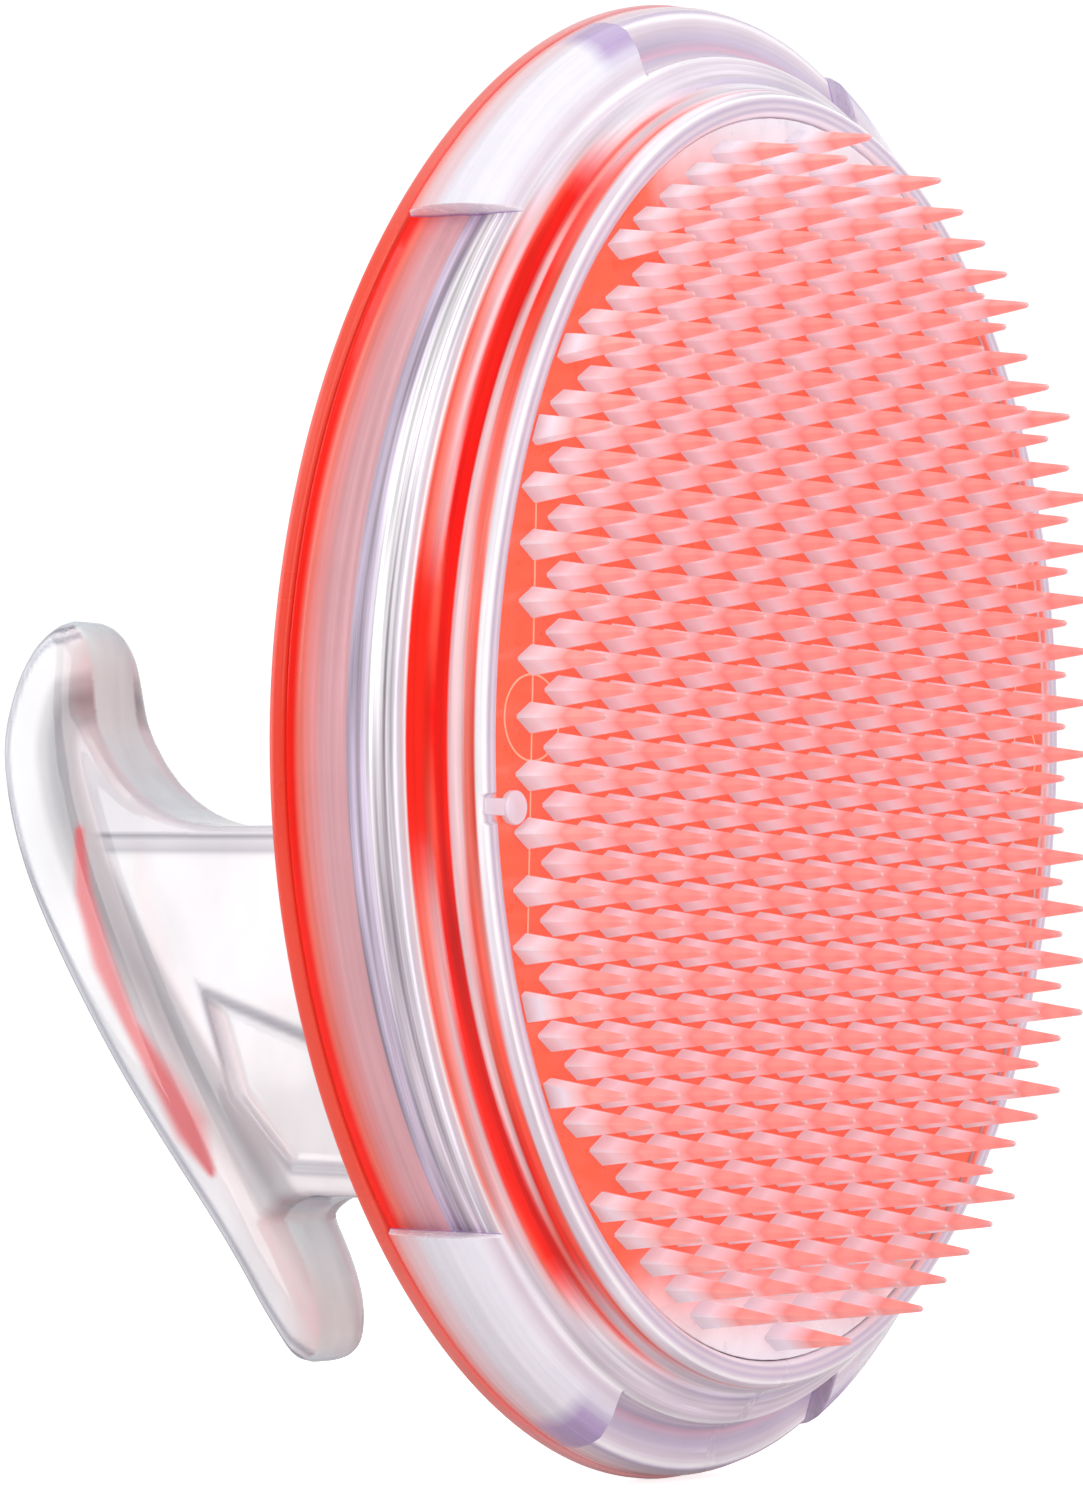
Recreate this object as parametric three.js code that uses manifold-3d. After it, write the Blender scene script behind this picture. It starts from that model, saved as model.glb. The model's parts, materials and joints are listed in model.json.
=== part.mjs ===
// Scalp massager brush: an oval palm brush with tapered four-sided bristles and a bowed handle.
// Millimetres, +Z up. The brush stands on its rim with the bristles towards -Y and the handle towards +Y.
// Everything is drawn about the centre of the bristle face, then one group moves it onto its base.
import * as THREE from 'three';
import { mergeVertices } from 'three/addons/utils/BufferGeometryUtils.js';
import Module from 'manifold-3d';

// Bristle face and the bristle lattice
const FACE_HALF_WIDTH = 33.75;
const FACE_HALF_HEIGHT = 45.5;
const COLUMN_PITCH = 3;
const ROW_PITCH = 4;
const OUTER_COLUMN = 10;
const FIELD_HALF_WIDTH = 33.8;
const FIELD_HALF_HEIGHT = 44.3;
const BRISTLE_LENGTH = 6.68;
const BRISTLE_HALF_WIDTH = 1.81;
const BRISTLE_HALF_HEIGHT = 1.21;
const FLAT_TIP = 0.17;
const ROOT = 0.4;

// Depths behind the bristle face. The plate's edge is stepped, and the rim's lip lies on the step
const PLATE_STEP = 1.6;
const PLATE_FLANGE = 1.4;
const PLATE_BACK = 2.6;
const INSERT_FRONT = 2.9;
const INSERT_BACK = 4.2;
const RIM_BACK = 14;
const COVER_EDGE = 14.3;
const COVER_BACK = 19.4;
const PAD_BACK = 21.2;
const GAP = 0.3;

// Oval outline: the rim is widest at its waist, and the edge of the cover reaches highest
const COVER_OFFSET = 6.05;
const COVER_STRETCH = 3.6;
const BODY_HALF_HEIGHT = FACE_HALF_HEIGHT + COVER_OFFSET + COVER_STRETCH;
const STEPS_ROUND = 80;

// The back of the body curves forward towards the top and bottom: by BOW at the far ends of the cover's edge
const BOW = 4.6;
const BOW_FRONT = 4;

// Finger recesses: their end walls are flat, upright at the top and bottom, level at the sides. Those at the
// sides run back almost to the cover, and those at the top and bottom end in front of the rim's widest ring
const TOP_RECESS_HALF_WIDTH = 13.2;
const SIDE_RECESS_HALF_HEIGHT = 36;

// Locating tab across the lip on the left edge, with a round peg on its inner end
const TAB_HEIGHT = -6.3;
const TAB_HALF_WIDTH = 0.6;
const TAB_OUTER_END = -35.2;
const PEG_X = -32;
const PEG_RADIUS = 1.2;

// Posts inside the cover that hold the colour insert against the plate
const POST_RADIUS = 2;
const POST_X = 18;
const POST_HEIGHTS = [22, -28];
const INSIDE_WALL = 16;

// Handle: a bowed bar, narrower at its two tips, on a flat stem with a foot
const HANDLE_CENTRE = -21;
const BAR_HALF_WIDTH = 5.8;
const BAR_BACK = 77.4;
const BAR_MIDDLE = -19;
const BAR_HALF_LENGTH = 30;
const TIP_NARROWING = 0.4;
const STEM_HALF_WIDTH = 4.5;
const STEM_TOP = -6.5;
const STEM_BOTTOM = -35.5;
const POCKET_HALF_WIDTH = 2;
const POCKET_DEPTH = 0.8;
const FOOT_HALF_WIDTH = 7;
const FOOT_HALF_HEIGHT = 15.6;
const FOOT_CORNER = 5;
const FOOT_THICKNESS = 2.3;

// The two screws that hold the handle, driven from inside the cover
const SCREW_SPACING = 16;
const SCREW_RADIUS = 1.4;
const SCREW_SEAT = 14.8;
const SCREW_END = 31;
const BOSS_RADIUS = 4;
const HEAD_RADIUS = 2.8;
const HEAD_HEIGHT = 1.9;
const SLOT_WIDTH = 0.8;
const SLOT_DEPTH = 0.8;

const wasm = await Module();
wasm.setup();

const { Vector2, Shape, ExtrudeGeometry, LatheGeometry, CylinderGeometry, BufferGeometry } = THREE;

const clear = () => new THREE.MeshStandardMaterial({ color: 0xe9e4ee, roughness: 0.12, metalness: 0 });
const coral = () => new THREE.MeshStandardMaterial({ color: 0xf2503a, roughness: 0.35, metalness: 0 });
const steel = () => new THREE.MeshStandardMaterial({ color: 0xb9bcc0, roughness: 0.3, metalness: 0.9 });

// A closed three.js geometry as a solid that can be joined and cut
function solid(geometry) {
  geometry.deleteAttribute('normal');
  geometry.deleteAttribute('uv');
  const merged = mergeVertices(geometry, 1e-4);
  const index = merged.index.array;
  const triangles = [];
  for (let i = 0; i < index.length; i += 3) {
    const [a, b, c] = [index[i], index[i + 1], index[i + 2]];
    if (a !== b && b !== c && c !== a) triangles.push(a, b, c);
  }
  const vertProperties = merged.attributes.position.array;
  const triVerts = Uint32Array.from(triangles);
  return new wasm.Manifold(new wasm.Mesh({ numProp: 3, vertProperties, triVerts }));
}

function named(name, body, material) {
  const { vertProperties, triVerts } = body.getMesh();
  const geometry = new BufferGeometry();
  geometry.setAttribute('position', new THREE.BufferAttribute(vertProperties, 3));
  geometry.setIndex(new THREE.BufferAttribute(triVerts, 1));
  geometry.computeVertexNormals();
  const mesh = new THREE.Mesh(geometry, material);
  mesh.name = name;
  return mesh;
}

// One ring of an oval body: how far outside the bristle face it lies, its depth, and its extra height
const ring = (offset, y, stretch = 0) => ({
  a: FACE_HALF_WIDTH + offset, b: FACE_HALF_HEIGHT + offset + stretch, y,
});
const pole = (y) => ({ a: 0, b: 0, y });

// A body turned about the Y axis whose rings are ovals, bowed as the back of the brush is
function ovalBody(rings) {
  const profile = rings.map((r) => new Vector2(r.a, r.y));
  if (THREE.ShapeUtils.area(profile) < 0) {
    profile.reverse();
    rings = [...rings].reverse();
  }
  const closed = rings[0].a > 0;
  if (closed) {
    profile.push(profile[0]);
    rings = [...rings, rings[0]];
  }
  const geometry = new LatheGeometry(profile, STEPS_ROUND);
  const position = geometry.attributes.position;
  for (let i = 0; i < position.count; i += 1) {
    const { a, b } = rings[i % rings.length];
    if (a > 0) position.setZ(i, position.getZ(i) * (b / a));
    const bowed = THREE.MathUtils.clamp((position.getY(i) - BOW_FRONT) / (COVER_EDGE - BOW_FRONT), 0, 1);
    position.setY(i, position.getY(i) - BOW * bowed * (position.getZ(i) / BODY_HALF_HEIGHT) ** 2);
  }
  return solid(geometry);
}

// A shape drawn in the X-Z plane, from depth y0 to y1
function slab(shape, y0, y1) {
  const geometry = new ExtrudeGeometry(shape, { depth: y1 - y0, bevelEnabled: false, curveSegments: 6 });
  geometry.rotateX(Math.PI / 2);
  geometry.translate(0, y1, 0);
  return solid(geometry);
}

// A shape drawn as depth and height, given a width across X. Its long edges are rounded by inset and across,
// and taper(z), where it is given, narrows it with height
function sideShape(shape, halfWidth, { inset, across }, curveSegments, taper = () => 1) {
  const round = { bevelThickness: across, bevelSize: inset, bevelOffset: -inset, bevelSegments: 3 };
  const depth = 2 * (halfWidth - across);
  const geometry = new ExtrudeGeometry(shape, { depth, curveSegments, bevelEnabled: true, ...round });
  geometry.translate(0, 0, -depth / 2);
  geometry.applyMatrix4(new THREE.Matrix4().makeBasis(
    new THREE.Vector3(0, 1, 0), new THREE.Vector3(0, 0, 1), new THREE.Vector3(1, 0, 0)));
  const position = geometry.attributes.position;
  for (let i = 0; i < position.count; i += 1) position.setX(i, position.getX(i) * taper(position.getZ(i)));
  return solid(geometry);
}

// An oblong about the face's centre
function oblong(halfWidth, halfHeight) {
  const shape = new Shape();
  shape.moveTo(-halfWidth, -halfHeight);
  shape.lineTo(halfWidth, -halfHeight);
  shape.lineTo(halfWidth, halfHeight);
  shape.lineTo(-halfWidth, halfHeight);
  return shape;
}

function rod(radius, y0, y1, x = 0, z = 0, sides = 20) {
  const geometry = new CylinderGeometry(radius, radius, y1 - y0, sides);
  geometry.translate(x, (y0 + y1) / 2, z);
  return solid(geometry);
}

// The rounded plate that the handle's foot and the pad under it share, from depth y0 to y1
function footSlab(y0, y1) {
  const shape = new Shape();
  const w = FOOT_HALF_WIDTH - FOOT_CORNER;
  const top = HANDLE_CENTRE + FOOT_HALF_HEIGHT - FOOT_CORNER;
  const bottom = HANDLE_CENTRE - FOOT_HALF_HEIGHT + FOOT_CORNER;
  shape.absarc(w, top, FOOT_CORNER, 0, Math.PI / 2);
  shape.absarc(-w, top, FOOT_CORNER, Math.PI / 2, Math.PI);
  shape.absarc(-w, bottom, FOOT_CORNER, Math.PI, 1.5 * Math.PI);
  shape.absarc(w, bottom, FOOT_CORNER, 1.5 * Math.PI, 2 * Math.PI);
  return slab(shape, y0, y1);
}

// Bristle plate -------------------------------------------------------------

// A bristle is a rhombus tapering to its tip; its root is sunk into the plate
function bristle(x, z, tip) {
  const length = BRISTLE_LENGTH + ROOT;
  const root = tip + ((1 - tip) * length) / BRISTLE_LENGTH;
  const geometry = new CylinderGeometry(tip, root, length, 4);
  geometry.rotateX(Math.PI);
  geometry.scale(BRISTLE_HALF_WIDTH, 1, BRISTLE_HALF_HEIGHT);
  geometry.translate(x, ROOT - length / 2, z);
  return solid(geometry);
}

// The bristles stand inside an oval a little lower than the face, in 21 columns; those at its edge are cut
// to the face. Only the bristle at the centre keeps a flat tip: it carries the resting face
function bristleField() {
  const bristles = [];
  const rows = Math.ceil(FIELD_HALF_HEIGHT / ROW_PITCH);
  for (let i = -OUTER_COLUMN; i <= OUTER_COLUMN; i += 1) {
    const shift = i % 2 === 0 ? 0 : ROW_PITCH / 2;
    for (let j = -rows; j <= rows; j += 1) {
      const x = i * COLUMN_PITCH;
      const z = j * ROW_PITCH + shift;
      const inside = Math.hypot(x / FIELD_HALF_WIDTH, z / FIELD_HALF_HEIGHT) < 1;
      if (inside) bristles.push(bristle(x, z, i === 0 && j === 0 ? FLAT_TIP : 0));
    }
  }
  const face = ovalBody([pole(-BRISTLE_LENGTH - 1), ring(0, -BRISTLE_LENGTH - 1), ring(0, 1), pole(1)]);
  return wasm.Manifold.union(bristles).intersect(face);
}

// The tab's outline, or the outline of the notch that takes it when clearance is added all round
function tabShape(clearance) {
  const shape = new Shape();
  const half = TAB_HALF_WIDTH + clearance;
  shape.moveTo(TAB_OUTER_END - clearance, TAB_HEIGHT - half);
  shape.lineTo(PEG_X, TAB_HEIGHT - half);
  shape.lineTo(PEG_X, TAB_HEIGHT + half);
  shape.lineTo(TAB_OUTER_END - clearance, TAB_HEIGHT + half);
  return shape;
}

function bristlePlate() {
  const plate = ovalBody([
    pole(0), ring(0, 0), ring(0, PLATE_STEP), ring(PLATE_FLANGE, PLATE_STEP), ring(PLATE_FLANGE, PLATE_BACK),
    pole(PLATE_BACK),
  ]);
  const tab = slab(tabShape(0), -0.3, 1);
  const peg = rod(PEG_RADIUS, -0.5, 1, PEG_X, TAB_HEIGHT, 16);
  return plate.add(bristleField()).add(tab).add(peg);
}

// Outer rim -----------------------------------------------------------------

// The rim's section, from the lip's inner edge round the outside and back along the inside
const lip = [ring(0.3, 1.3), ring(0.3, -0.1), ring(0.65, -0.45), ring(1.75, -0.45), ring(2.15, -0.1)];
const shoulder = [ring(2.75, 2), ring(5.15, 4), ring(6.7, 5.2, 0.3), ring(7.8, 6.9, 0.6)];
const side = [ring(8.1, 8.7, 0.9), ring(7.7, 11, 1.6), ring(6.3, RIM_BACK, 3.1)];
const inside = [ring(3.7, RIM_BACK, 1.6), ring(3.7, 9, 0.6), ring(3.9, 5), ring(1.75, 2.9), ring(1.75, 1.3)];

function outerRim() {
  const body = ovalBody([...lip, ...shoulder, ...side, ...inside]);
  const sideScoop = ovalBody([
    ring(5.25, 4.1), ring(5, 5.7, 0.2), ring(4.85, 9.2, 0.7), ring(5.3, 9.7, 0.9), ring(5.3, 13.6, 1.9),
    ring(12, 13.6, 4), ring(12, 4.1, 4),
  ]);
  const topScoop = ovalBody([
    ring(5.25, 4.1), ring(5, 5.7, 0.2), ring(5.3, 7, 0.5), ring(7.6, 8.8, 0.9), ring(12, 8.8, 4),
    ring(12, 4.1, 4),
  ]);
  const across = oblong(FACE_HALF_WIDTH + 20, SIDE_RECESS_HALF_HEIGHT);
  const upright = oblong(TOP_RECESS_HALF_WIDTH, FACE_HALF_HEIGHT + 20);
  const sideRecesses = sideScoop.intersect(slab(across, 0, RIM_BACK + 1));
  const endRecesses = topScoop.intersect(slab(upright, 0, RIM_BACK + 1));
  const notch = slab(tabShape(GAP), -1, 1.5);
  return body.subtract(sideRecesses).subtract(endRecesses).subtract(notch);
}

// Colour insert, a tray that follows the inside of the rim's shoulder --------

function colourInsert() {
  return ovalBody([
    pole(INSERT_FRONT), ring(1.3, INSERT_FRONT), ring(3.4, 5), ring(3.4, 7.4), ring(2.2, 7.4),
    ring(2.2, 5.5), ring(0.7, INSERT_BACK), pole(INSERT_BACK),
  ]);
}

// Back cover ----------------------------------------------------------------

const screwHeights = [HANDLE_CENTRE + SCREW_SPACING / 2, HANDLE_CENTRE - SCREW_SPACING / 2];

function backCover() {
  const shell = ovalBody([
    pole(COVER_BACK), ring(-18, 19), ring(-6, 18.2, 1), ring(3, 17, 2.8), ring(5.2, 16.3, 3.3),
    ring(COVER_OFFSET, 15.5, COVER_STRETCH), ring(COVER_OFFSET, COVER_EDGE, COVER_STRETCH),
    ring(3.3, COVER_EDGE, 1.6), ring(3.3, 9, 0.6), ring(2.1, 9, 0.6), ring(2.1, 14.6, 1.6),
    ring(-6, 16, 1), ring(-18, 16.9), pole(17.3),
  ]);
  const pad = footSlab(INSIDE_WALL, PAD_BACK);
  let cover = shell.add(pad);
  for (const x of [POST_X, -POST_X]) {
    for (const z of POST_HEIGHTS) cover = cover.add(rod(POST_RADIUS, INSERT_BACK + GAP, INSIDE_WALL, x, z));
  }
  for (const z of screwHeights) {
    const boss = rod(BOSS_RADIUS, SCREW_SEAT, INSIDE_WALL + 1.5, 0, z);
    const hole = rod(SCREW_RADIUS + GAP, SCREW_SEAT - 1, PAD_BACK + 1, 0, z);
    cover = cover.add(boss).subtract(hole);
  }
  return cover;
}

// Handle --------------------------------------------------------------------

const tipTaper = (z) => 1 - TIP_NARROWING * ((z - BAR_MIDDLE) / BAR_HALF_LENGTH) ** 4;

function barShape() {
  const outline = [
    [71.8, 10.5], [74.9, 8.8], [76.9, 4.6], [BAR_BACK, -1], [75.2, -8.5], [70.9, -16.2], [63, -26.8],
    [52.1, -39.2], [47.4, -45.8], [44.9, -48.7], [42.6, -47.4], [43.5, -42.6], [48, -35.5], [56, -24],
    [62.6, -12.5], [66.4, -4], [68.4, 2.5], [69.4, 8],
  ].map(([y, z]) => new Vector2(y, z));
  const shape = new Shape();
  shape.moveTo(outline[0].x, outline[0].y);
  shape.splineThru([...outline.slice(1), outline[0]]);
  return shape;
}

function stemShape() {
  const shape = new Shape();
  shape.moveTo(PAD_BACK + GAP, STEM_TOP + 1);
  shape.quadraticCurveTo(24, STEM_TOP, 29, STEM_TOP);
  shape.lineTo(54, STEM_TOP);
  shape.quadraticCurveTo(64.5, STEM_TOP + 0.3, 69, 3);
  shape.lineTo(71.5, -6);
  shape.lineTo(52, -38);
  shape.lineTo(47.8, -38.5);
  shape.quadraticCurveTo(45.5, STEM_BOTTOM, 42, STEM_BOTTOM);
  shape.lineTo(29, STEM_BOTTOM);
  shape.quadraticCurveTo(24, STEM_BOTTOM, PAD_BACK + GAP, STEM_BOTTOM - 1);
  return shape;
}

// The shallow pocket in each flank of the stem, below a slanted edge
function pocketShape() {
  const shape = new Shape();
  shape.moveTo(26, -28);
  shape.lineTo(44, -22.7);
  shape.lineTo(54, -19.5);
  shape.lineTo(50.5, -28);
  shape.lineTo(44.5, -33.4);
  shape.lineTo(26, -33.4);
  return shape;
}

function handle() {
  const bar = sideShape(barShape(), BAR_HALF_WIDTH, { inset: 1.6, across: 3.2 }, 2, tipTaper);
  const stem = sideShape(stemShape(), STEM_HALF_WIDTH, { inset: 0.6, across: 0.8 }, 5);
  const foot = footSlab(PAD_BACK + GAP, PAD_BACK + GAP + FOOT_THICKNESS);
  let body = bar.add(stem).add(foot);
  const pocketX = STEM_HALF_WIDTH + POCKET_HALF_WIDTH - POCKET_DEPTH;
  for (const x of [-pocketX, pocketX]) {
    const pocket = sideShape(pocketShape(), POCKET_HALF_WIDTH, { inset: 0.4, across: 0.3 }, 1);
    body = body.subtract(pocket.translate([x, 0, 0]));
  }
  for (const z of screwHeights) {
    const hole = rod(SCREW_RADIUS + GAP, PAD_BACK - 1, SCREW_END + 1, 0, z);
    body = body.subtract(hole);
  }
  return body;
}

// A screw with a flat round head and a slot across it
function handleScrew(z) {
  const seat = SCREW_SEAT - GAP;
  const head = rod(HEAD_RADIUS, seat - HEAD_HEIGHT, seat, 0, z);
  const shank = rod(SCREW_RADIUS, seat - HEAD_HEIGHT / 2, SCREW_END, 0, z);
  const bar = new THREE.BoxGeometry(3 * HEAD_RADIUS, 2 * SLOT_DEPTH, SLOT_WIDTH);
  const slot = solid(bar.translate(0, seat - HEAD_HEIGHT, z));
  return head.add(shank).subtract(slot);
}

// Assembly ------------------------------------------------------------------

const brush = new THREE.Group();
brush.position.set(0, (BRISTLE_LENGTH - BAR_BACK) / 2, BODY_HALF_HEIGHT);
brush.add(named('bristle_plate', bristlePlate(), clear()));
brush.add(named('colour_insert', colourInsert(), coral()));
brush.add(named('outer_rim', outerRim(), clear()));
brush.add(named('back_cover', backCover(), coral()));
brush.add(named('handle', handle(), clear()));
brush.add(named('handle_screw_upper', handleScrew(screwHeights[0]), steel()));
brush.add(named('handle_screw_lower', handleScrew(screwHeights[1]), steel()));

export default brush;
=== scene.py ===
import json
import math

import bmesh
import bpy
import numpy as np
from mathutils import Matrix, Vector

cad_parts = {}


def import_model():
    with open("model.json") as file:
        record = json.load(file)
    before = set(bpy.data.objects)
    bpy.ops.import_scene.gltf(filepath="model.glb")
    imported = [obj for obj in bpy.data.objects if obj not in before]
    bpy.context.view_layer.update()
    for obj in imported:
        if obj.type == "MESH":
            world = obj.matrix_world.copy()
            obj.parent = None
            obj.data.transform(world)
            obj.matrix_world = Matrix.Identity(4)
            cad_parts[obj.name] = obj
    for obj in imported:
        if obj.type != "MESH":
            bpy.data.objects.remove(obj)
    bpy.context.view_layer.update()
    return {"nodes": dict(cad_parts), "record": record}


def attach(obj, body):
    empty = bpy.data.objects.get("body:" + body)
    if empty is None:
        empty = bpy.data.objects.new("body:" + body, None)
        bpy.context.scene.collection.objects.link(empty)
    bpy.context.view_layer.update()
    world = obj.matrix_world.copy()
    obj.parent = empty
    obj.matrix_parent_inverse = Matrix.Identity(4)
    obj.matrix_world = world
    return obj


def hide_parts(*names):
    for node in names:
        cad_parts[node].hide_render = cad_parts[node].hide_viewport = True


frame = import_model()

# In metres: a millimetre, how near two points are merged, and the least length divided by
MM = 0.001
SAME_PLACE = 1e-7
SHORTEST = 1e-6

# The oval body, in millimetres: offsets from the bristle face's outline, depths behind the face
FACE_HALF_WIDTH = 33.75
FACE_HALF_HEIGHT = 45.5
BRISTLE_LENGTH = 6.68
COVER_EDGE = 14.3
BODY_HALF_HEIGHT = 55.15
BOW = 4.6
BOW_FRONT = 4
RIM_BACK = 14

# Locating tab across the lip on the left edge, with a round peg on its inner end
TAB_HEIGHT = -6.3
TAB_HALF_WIDTH = 0.6
TAB_OUTER_END = -35.2
TAB_FRONT = -0.3
TAB_BACK = 1
PEG_X = -32
PEG_RADIUS = 1.2
PEG_FRONT = -0.5

# Handle
HANDLE_CENTRE = -21
PAD_BACK = 21.2
GAP = 0.3
BAR_HALF_WIDTH = 5.8
BAR_MIDDLE = -19
BAR_HALF_LENGTH = 30
TIP_NARROWING = 0.4
STEM_HALF_WIDTH = 4.5
STEM_TOP = -6.5
STEM_BOTTOM = -35.5
POCKET_DEPTH = 0.8
FOOT_HALF_WIDTH = 7
FOOT_HALF_HEIGHT = 15.6
FOOT_CORNER = 5
FOOT_THICKNESS = 2.3
SCREW_SPACING = 16
SCREW_HOLE_RADIUS = 1.7
SCREW_HOLE_END = 32

# Bristle lattice
COLUMN_PITCH = 3
ROW_PITCH = 4
OUTER_COLUMN = 10
FIELD_HALF_WIDTH = 33.8
FIELD_HALF_HEIGHT = 44.3
BRISTLE_HALF_WIDTH = 1.81
BRISTLE_HALF_HEIGHT = 1.21
TIP_RADIUS = 0.26

# Finger recesses, between upright walls at the top and bottom and level ones at the sides
TOP_RECESS_HALF_WIDTH = 13.2
SIDE_RECESS_HALF_HEIGHT = 36

# The face's centre in the row frame, from the resting mount on the middle bristle's tip
tip = frame["record"]["mounts"][0]["pos_m"]
FACE_Y = tip[1] / MM + BRISTLE_LENGTH
CENTRE_Z = tip[2] / MM


# ---------------- geometry helpers

def place(x, depth, z):
    """A point given about the face's centre in millimetres, in the row frame in metres."""
    return Vector((x, FACE_Y + depth, CENTRE_Z + z)) * MM


def smoothstep(low, high, value):
    t = min(1.0, max(0.0, (value - low) / (high - low)))
    return t * t * (3 - 2 * t)


def oval(offset, depth, stretch, angle):
    """A point of an oval ring, with the back's forward bow. Angle 0 is the top, 90 degrees is +X."""
    x = (FACE_HALF_WIDTH + offset) * math.sin(angle)
    z = (FACE_HALF_HEIGHT + offset + stretch) * math.cos(angle)
    bowed = min(1.0, max(0.0, (depth - BOW_FRONT) / (COVER_EDGE - BOW_FRONT)))
    return place(x, depth - BOW * bowed * (z / BODY_HALF_HEIGHT) ** 2, z)


# How profiles are drawn: the parts of a long side, the share of a side that a corner may take, and the
# offset at which an oval body closes on its middle plane
SIDE_PARTS = 9
LONGEST_CUT = 0.4
INNERMOST = -FACE_HALF_WIDTH


def rounded(profile, radius, steps=4):
    """A closed profile of (offset, depth, stretch), its corners turned into short curves and its long sides
    divided. Corners on the middle plane stay sharp."""
    corners = []
    for i, corner in enumerate(profile):
        corner = Vector(corner)
        before = Vector(profile[i - 1]) - corner
        after = Vector(profile[(i + 1) % len(profile)]) - corner
        reach = radius if corner.x > INNERMOST else 0
        start = corner + before * min(LONGEST_CUT, reach / max(before.length, SHORTEST))
        end = corner + after * min(LONGEST_CUT, reach / max(after.length, SHORTEST))
        corners += [start.lerp(corner, k / steps).lerp(corner.lerp(end, k / steps), k / steps)
                    for k in range(steps + 1)]
    points = []
    for i, point in enumerate(corners):
        following = corners[(i + 1) % len(corners)]
        parts = SIDE_PARTS if i % (steps + 1) == steps else 1
        points += [point.lerp(following, k / parts) for k in range(parts)]
    return points


def make_object(name, mesh):
    piece = bpy.data.objects.new(name, mesh)
    bpy.context.scene.collection.objects.link(piece)
    return piece


def finish_mesh(mesh, sharp=None):
    """Merged points, outward normals, smooth shading, and edges sharper than the given angle kept crisp.
    Faces folded flat onto the middle plane, where an oval body closes on itself, are dropped."""
    work = bmesh.new()
    work.from_mesh(mesh)
    bmesh.ops.remove_doubles(work, verts=work.verts, dist=SAME_PLACE)
    flat = [face for face in work.faces if all(abs(vertex.co.x) < SAME_PLACE for vertex in face.verts)]
    bmesh.ops.delete(work, geom=flat, context="FACES")
    bmesh.ops.recalc_face_normals(work, faces=work.faces)
    work.to_mesh(mesh)
    work.free()
    mesh.shade_smooth()
    if sharp:
        mesh.set_sharp_from_angle(angle=math.radians(sharp))
    return mesh


def ring_mesh(name, profiles, degrees, sharp=None, turn=lambda point, angle: 0):
    """An oval body: one closed profile of (offset, depth, stretch) at each angle, wrapped round. turn(point,
    angle) moves a point along the oval. The attribute "station" keeps a vertex's offset, depth and angle."""
    count = len(profiles[0])
    points, stations, faces = [], [], []
    for profile, angle in zip(profiles, degrees):
        points += [oval(*p, math.radians(angle + turn(p, angle))) for p in profile]
        stations += [(p[0], p[1], angle) for p in profile]
    for i in range(len(profiles)):
        j = (i + 1) % len(profiles)
        for k in range(count):
            m = (k + 1) % count
            faces.append((i * count + k, i * count + m, j * count + m, j * count + k))
    mesh = bpy.data.meshes.new(name)
    mesh.from_pydata(points, [], faces)
    layer = mesh.attributes.new("station", "FLOAT_VECTOR", "POINT")
    for item, station in zip(layer.data, stations):
        item.vector = station
    return finish_mesh(mesh, sharp)


def circle(x, z, radius, step):
    """Points round a circle, a step of degrees apart."""
    turns = [math.radians(a) for a in range(0, 360, step)]
    return [(x + radius * math.cos(t), z + radius * math.sin(t)) for t in turns]


def outline_body(name, outline, low, high, bevel):
    """A closed outline of (x, z), given a depth from low to high, its edges bevelled."""
    mesh = bpy.data.meshes.new(name)
    count = len(outline)
    points = [place(x, y, z) for y in (low, high) for x, z in outline]
    sides = [(i, (i + 1) % count, (i + 1) % count + count, i + count) for i in range(count)]
    ends = [tuple(range(count - 1, -1, -1)), tuple(range(count, 2 * count))]
    mesh.from_pydata(points, [], sides + ends)
    work = bmesh.new()
    work.from_mesh(mesh)
    bmesh.ops.recalc_face_normals(work, faces=work.faces)
    rims = [edge for edge in work.edges if edge.calc_face_angle(0) > math.radians(40)]
    bmesh.ops.bevel(work, geom=rims, offset=bevel * MM, segments=3, profile=0.5, affect="EDGES")
    work.to_mesh(mesh)
    work.free()
    mesh.shade_smooth()
    return make_object(name, mesh)


def join(piece, others):
    """Adds the other pieces' meshes to the first one's."""
    work = bmesh.new()
    for each in (piece, *others):
        work.from_mesh(each.data)
    work.to_mesh(piece.data)
    work.free()
    piece.data.shade_smooth()
    for each in others:
        bpy.data.objects.remove(each)


def apply_modifiers(piece):
    """Replaces the piece's mesh by the one its modifiers make."""
    depsgraph = bpy.context.evaluated_depsgraph_get()
    final = bpy.data.meshes.new_from_object(piece.evaluated_get(depsgraph))
    piece.modifiers.clear()
    piece.data = final
    final.name = piece.name


def paint(mesh, colours):
    """Writes one colour for each vertex into the attribute "paint". A fourth value, where given, is how
    strong the material's painted reflection streaks are there."""
    layer = mesh.color_attributes.new("paint", "FLOAT_COLOR", "POINT")
    for item, colour in zip(layer.data, colours):
        item.color = tuple(colour) if len(colour) == 4 else (*colour, 0)


def paint_by_station(mesh, colour_of):
    paint(mesh, [colour_of(*item.vector) for item in mesh.attributes["station"].data])


def mix(a, b, t):
    return tuple(p * (1 - t) + q * t for p, q in zip(a, b))


def srgb(red, green, blue):
    """A colour given as it looks on screen, from 0 to 255, as linear light."""
    def linear(c):
        c /= 255
        return c / 12.92 if c < 0.04045 else ((c + 0.055) / 1.055) ** 2.4
    return tuple(linear(c) for c in (red, green, blue))


def ramp(stops, value):
    """A colour between stops of (value, colour)."""
    for (low, first), (high, second) in zip(stops, stops[1:]):
        if value < high:
            return mix(first, second, smoothstep(low, high, value))
    return stops[-1][1]


# ---------------- colours and materials

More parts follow.
